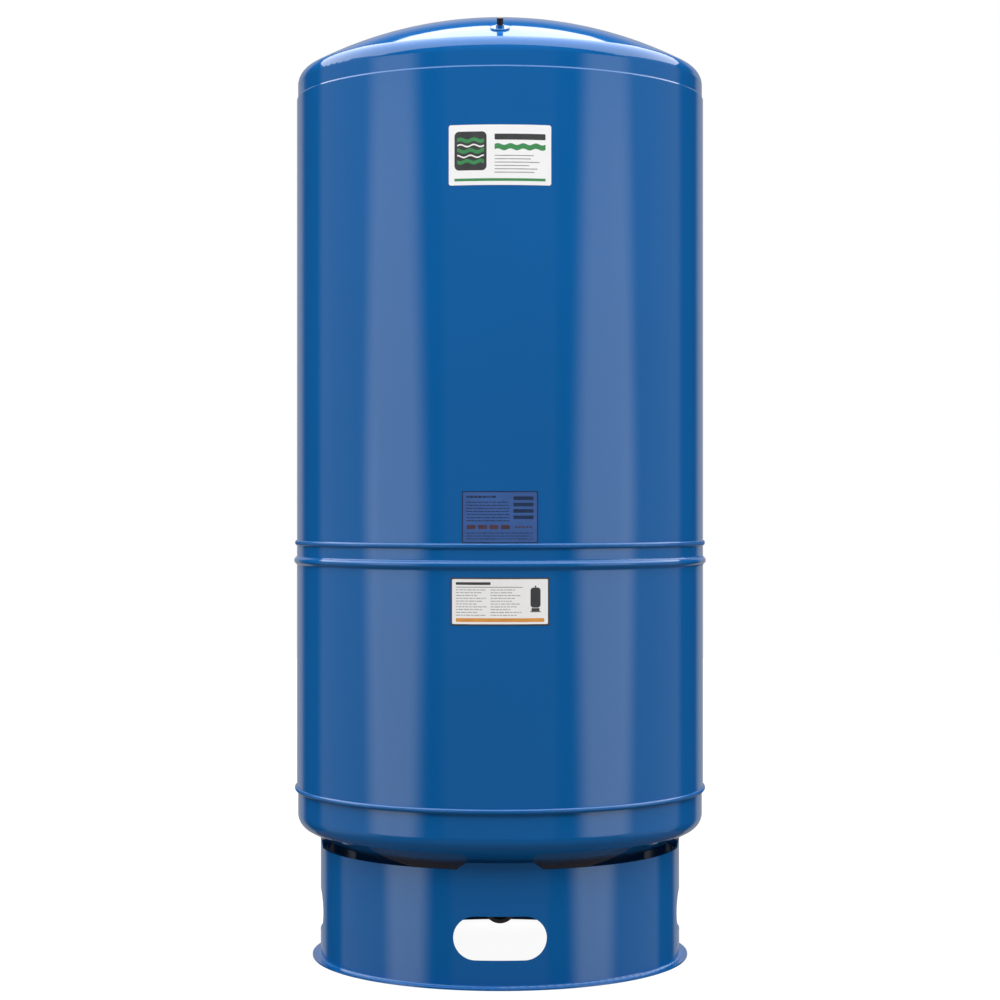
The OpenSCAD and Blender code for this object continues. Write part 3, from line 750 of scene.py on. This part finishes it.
valve_turn = Vector((0, 0, 1)).rotation_difference(VALVE_AXIS).to_matrix().to_4x4()
wound(
    "valve_neck_thread", thread_section(3.83 * MM, 3.93 * MM, NECK_PITCH),
    NECK_PITCH, NECK_TURNS,
    Matrix.Translation(VALVE_FOOT + VALVE_AXIS * NECK_START) @ valve_turn, brass,
)
socket_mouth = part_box("water_elbow")[0][1]
socket_turn = Matrix.Rotation(-math.pi / 2, 4, "X")
wound(
    "water_socket_thread", thread_section(20.25 * MM, 19.1 * MM, SOCKET_PITCH),
    SOCKET_PITCH, SOCKET_TURNS,
    Matrix.Translation((0, socket_mouth + SOCKET_START, SOCKET_HEIGHT)) @ socket_turn,
    stainless,
)

# %% [markdown]
# The valve core's spring
#
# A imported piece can't change its shape, and this spring gets shorter when its pin is
# pushed in. So it is wound here from a round section, in the same way as a thread, to
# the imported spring's own length, and the joint that moves the pin squashes it.

# %% Wind the spring that the pin squashes
SPRING_R = 1.08 * MM
WIRE_R = 0.17 * MM
WIRE_SIDES = 10
SPRING_TURNS = 6

packed_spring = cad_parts["core_spring"]
reach = [
    (packed_spring.matrix_world @ vert.co - VALVE_FOOT).dot(VALVE_AXIS)
    for vert in packed_spring.data.vertices
]
spring_low, spring_high = min(reach), max(reach)
spring_length = spring_high - spring_low
wire = []
for i in range(WIRE_SIDES):
    turn = 2 * math.pi * i / WIRE_SIDES
    wire.append((SPRING_R + WIRE_R * math.cos(turn), WIRE_R * math.sin(turn)))
spring_place = Matrix.Translation(VALVE_FOOT + VALVE_AXIS * (spring_low + WIRE_R)) @ valve_turn
spring_pitch = (spring_length - 2 * WIRE_R) / SPRING_TURNS
core_coil = wound(
    "core_coil", wire, spring_pitch, SPRING_TURNS, spring_place, stainless
)
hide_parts("core_spring")
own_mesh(core_coil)
print("spring length %.5f" % spring_length)

# %% [markdown]
# Ink on the labels
#
# The labels carry plain shapes: badges, waves, bars and rules. Each is a thin patch: a
# rectangle whose corners are rounded with bevel, cut into upright strips so that it can
# bend, rolled onto the tank's wall and given a hair of thickness.


# %% Mix the inks
def ink_finish(name, color, roughness=0.42, cloud=(60.0, 0.85, 1.2)):
    return finish(name, color, roughness, bump=0.1, depth=0.00002, grain=1800.0, cloud=cloud)


slate_ink = ink_finish("slate_ink", (0.040, 0.043, 0.046))
green_ink = ink_finish("green_ink", (0.045, 0.235, 0.085), cloud=(60.0, 0.9, 1.1))
grey_ink = ink_finish("grey_ink", (0.30, 0.30, 0.31), 0.45, cloud=(90.0, 0.85, 1.15))
orange_ink = ink_finish("orange_ink", (0.62, 0.27, 0.055), cloud=(60.0, 0.92, 1.08))
navy_ink = ink_finish("navy_ink", (0.010, 0.026, 0.075), 0.40, cloud=(60.0, 0.8, 1.25))
maroon_ink = ink_finish("maroon_ink", (0.060, 0.030, 0.042), cloud=(60.0, 0.8, 1.2))
pale_ink = ink_finish("pale_ink", (0.74, 0.76, 0.76), cloud=(60.0, 0.95, 1.03))
INKS = (slate_ink, green_ink, grey_ink, orange_ink, navy_ink, maroon_ink, pale_ink)
print("inks:", [m.name for m in INKS])

# %% [markdown]
# From a flat drawing to the wall
#
# Each label's shapes are drawn flat, across and up. ink() then cuts them into strips,
# lays them on the wall's radius and thickens them inward. A second layer lies a little
# higher than the first, so that ink over ink doesn't flicker. A border is four bars over
# the film's edge, thick enough to reach down to the paint beside it.

# %% Helpers for ink
LABEL_FACE = wall_r + 0.27 * MM
CORNER_SEGMENTS = 6
WAVE_STEP = 1.5 * MM
BORDER_INSIDE = 0.4 * MM
BORDER_T = 0.3 * MM
INK_LIFT = 0.02 * MM
INK_T = 0.02 * MM
STRIP_W = 4 * MM


def rounded_patch(bm, x, z, width, height, corner=0.0):
    made = bmesh.ops.create_grid(bm, x_segments=1, y_segments=1, size=0.5)["verts"]
    bmesh.ops.scale(bm, vec=(width, height, 1), verts=made)
    if corner:
        rounded = bmesh.ops.bevel(
            bm, geom=made, offset=corner, offset_type="OFFSET", segments=CORNER_SEGMENTS,
            profile=0.5, affect="VERTICES", material=-1,
        )
        made = rounded["verts"]
    bmesh.ops.translate(bm, vec=(x, z, 0), verts=made)


def wave_patch(bm, x, z, width, height, swell, waves, shift):
    columns = round(width / WAVE_STEP)
    made = bmesh.ops.create_grid(bm, x_segments=columns, y_segments=1, size=0.5)["verts"]
    for vert in made:
        along = vert.co.x + 0.5
        rise = swell * math.sin(2 * math.pi * (waves * along + shift))
        vert.co = (x + width * (along - 0.5), z + height * vert.co.y + rise, 0)


def border(bm, z, width, height, outside, foot=True):
    # Without a foot the lowest bar ends at the film's lower edge
    bar = BORDER_INSIDE + outside
    shift = (outside - BORDER_INSIDE) / 2
    for side in (-1, 1):
        rounded_patch(bm, side * (width / 2 + shift), z, bar, height - 2 * BORDER_INSIDE)
    rounded_patch(bm, 0, z + height / 2 + shift, width + 2 * outside, bar)
    if foot:
        rounded_patch(bm, 0, z - height / 2 - shift, width + 2 * outside, bar)
    else:
        rounded_patch(bm, 0, z - height / 2 + bar / 2, width + 2 * outside, bar)


def ink(name, material, draw, layer=0, thickness=INK_T):
    bm = bmesh.new()
    draw(bm)
    reach = max(abs(vert.co.x) for vert in bm.verts)
    cuts = int(reach / STRIP_W) + 1
    for i in range(-cuts, cuts + 1):
        everything = bm.verts[:] + bm.edges[:] + bm.faces[:]
        bmesh.ops.bisect_plane(
            bm, geom=everything, dist=0.0000001, plane_co=(i * STRIP_W, 0, 0), plane_no=(1, 0, 0)
        )
    face_r = LABEL_FACE + INK_LIFT * (1 + layer * 1.5) + INK_T
    for vert in bm.verts:
        x, z = vert.co.x, vert.co.y
        vert.co = (x, -math.sqrt(face_r * face_r - x * x), z)
    bmesh.ops.recalc_face_normals(bm, faces=bm.faces)
    for face in bm.faces:
        if face.normal.y > 0:
            face.normal_flip()
    bmesh.ops.solidify(bm, geom=bm.faces[:], thickness=thickness)
    print(name, "faces:", len(bm.faces))
    return piece_from(bm, name, material, smooth=False)


def label_frame(node_name):
    low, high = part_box(node_name)
    return (low[2] + high[2]) / 2, high[0] - low[0], high[2] - low[2]


print("ink helpers ready")

# %% [markdown]
# The upper label
#
# A dark badge with rolling green and pale bands stands on the left. A dark bar, a green
# wave and grey rules fill the right, and a green strip runs along the foot.

# %% Print the upper label
upper_z = label_frame("upper_label")[0]
BADGE_X = -44 * MM
COLUMN_X = 30 * MM
COLUMN_W = 76 * MM


def badge_wave(bm, height_up, thickness, shift):
    wave_patch(bm, BADGE_X, upper_z + height_up, 40 * MM, thickness, 1.6 * MM, 2, shift)


def upper_dark(bm):
    rounded_patch(bm, BADGE_X, upper_z + 6 * MM, 48 * MM, 58 * MM, 7 * MM)
    rounded_patch(bm, COLUMN_X, upper_z + 27 * MM, COLUMN_W, 9 * MM, 1.5 * MM)


def upper_green(bm):
    for row in range(3):
        badge_wave(bm, (22 - 16 * row) * MM, 5.5 * MM, 0.25 * row)
    wave_patch(bm, COLUMN_X, upper_z + 12 * MM, COLUMN_W, 8 * MM, 1.4 * MM, 4, 0.0)
    rounded_patch(bm, 0, upper_z - 37 * MM, 136 * MM, 4 * MM)


def upper_pale(bm):
    for row in range(2):
        badge_wave(bm, (14 - 16 * row) * MM, 2.2 * MM, 0.25 * row)


def upper_grey(bm):
    widths = random.Random(7)
    left = COLUMN_X - COLUMN_W / 2
    for row in range(6):
        span = (50 + 26 * widths.random()) * MM
        rounded_patch(bm, left + span / 2, upper_z - (1 + 5 * row) * MM, span, 1.5 * MM)


ink("upper_label_slate", slate_ink, upper_dark)
ink("upper_label_green", green_ink, upper_green, layer=1)
ink("upper_label_pale", pale_ink, upper_pale, layer=1)
ink("upper_label_grey", grey_ink, upper_grey)

# %% [markdown]
# The data label
#
# The clear label over the middle weld is dense with dark rules, boxes and blocks. Its
# rules are rows of dashes of uneven length. The lengths come from a seeded random
# number, so they are the same on every run.

# %% Print the data label
data_z, data_w, data_h = label_frame("data_label")


def dashes(bm, left, right, z, height, seed, gap=1.1 * MM):
    widths = random.Random(seed)
    x = left
    while x < right - 2 * MM:
        span = min((2.0 + 6.5 * widths.random()) * MM, right - x)
        rounded_patch(bm, x + span / 2, z, span, height)
        x += span + gap


def data_border(bm):
    border(bm, data_z, data_w, data_h, 1.3 * MM, foot=False)


def data_dark(bm):
    dashes(bm, -50 * MM, -6 * MM, data_z + 31 * MM, 3.0 * MM, 3)
    for row in range(7):
        dashes(bm, -50 * MM, 14 * MM, data_z + (23 - 4.6 * row) * MM, 1.3 * MM, 20 + row)
    for row in range(4):
        rounded_patch(bm, 35 * MM, data_z + (29 - 9.5 * row) * MM, 30 * MM, 5.4 * MM, 0.8 * MM)
    for row in range(3):
        dashes(bm, -50 * MM, 50 * MM, data_z - (23 + 4.4 * row) * MM, 1.2 * MM, 40 + row)


def data_blocks(bm):
    for i in range(4):
        rounded_patch(bm, (-43 + 17 * i) * MM, data_z - 14 * MM, 13 * MM, 6 * MM)
    for i in range(5):
        rounded_patch(bm, (24 + 5.5 * i) * MM, data_z - 14 * MM, 3.6 * MM, 2.2 * MM)


ink("data_label_border", navy_ink, data_border, thickness=BORDER_T)
ink("data_label_navy", navy_ink, data_dark)
ink("data_label_maroon", maroon_ink, data_blocks)

# %% [markdown]
# The lower label
#
# A thin dark frame holds a title bar over a fine rule, two columns of grey rules and an
# orange strip along the foot. The outline of a plain tank on its stand, drawn with four
# rounded patches, fills the right.

# %% Print the lower label
lower_z, lower_w, lower_h = label_frame("lower_label")
TANK_X = 53 * MM


def lower_border(bm):
    border(bm, lower_z, lower_w, lower_h, 1.8 * MM)


def lower_black(bm):
    rounded_patch(bm, -40 * MM, lower_z + 27 * MM, 52 * MM, 4 * MM, 0.6 * MM)
    rounded_patch(bm, -16 * MM, lower_z + 21.5 * MM, 100 * MM, 0.8 * MM)


def lower_tank(bm):
    rounded_patch(bm, TANK_X, lower_z + 6 * MM, 15 * MM, 30 * MM, 4.5 * MM)
    rounded_patch(bm, TANK_X, lower_z - 12 * MM, 12 * MM, 4.5 * MM, 0.4 * MM)
    rounded_patch(bm, TANK_X, lower_z - 15 * MM, 16 * MM, 1.2 * MM)
    rounded_patch(bm, TANK_X, lower_z + 22.5 * MM, 2 * MM, 2.5 * MM)


def lower_orange(bm):
    rounded_patch(bm, 0, lower_z - 27.5 * MM, 132 * MM, 5.5 * MM)


def lower_rows(bm):
    for column in range(2):
        left = (-66 + 52 * column) * MM
        for row in range(10):
            right = left + (46 - 7 * ((row + column) % 3)) * MM
            z = lower_z + (17.5 - 4.2 * row) * MM
            dashes(bm, left, right, z, 1.25 * MM, 60 + 10 * column + row)


ink("lower_label_border", slate_ink, lower_border, thickness=BORDER_T)
ink("lower_label_black", slate_ink, lower_black)
ink("lower_label_tank", slate_ink, lower_tank)
ink("lower_label_orange", orange_ink, lower_orange)
ink("lower_label_rows", grey_ink, lower_rows)
